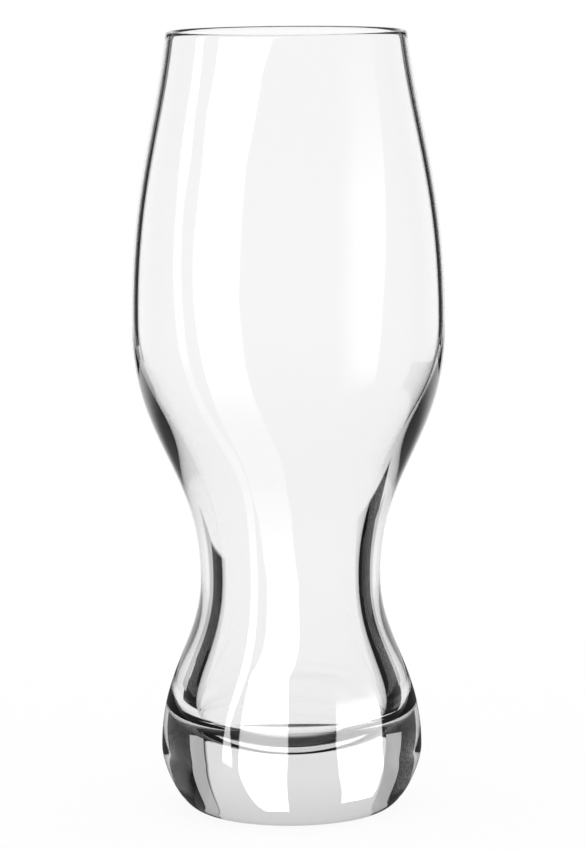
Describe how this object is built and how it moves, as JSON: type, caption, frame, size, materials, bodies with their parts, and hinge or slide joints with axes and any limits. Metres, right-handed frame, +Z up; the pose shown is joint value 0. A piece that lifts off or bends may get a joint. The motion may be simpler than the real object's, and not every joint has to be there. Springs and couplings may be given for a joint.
{
  "type": "beer glass",
  "caption": "Tall clear beer glass with a tulip bowl, a narrow waist and a lower chamber over a heavy solid base, for pouring, holding and drinking beer.",
  "frame": {"origin": "centre of the circle that the glass stands on, on the table surface", "axes": "+Z up along the axis of the glass, towards the rim; the glass is round, so X and Y are any two level directions"},
  "size_m": [0.0784, 0.0784, 0.196],
  "materials": {
    "clear_glass": "clear soda-lime glass, blown and fire-polished, smooth and glossy"
  },
  "bodies": {
    "root": {"beer_glass": "clear_glass"}
  },
  "joints": []
}
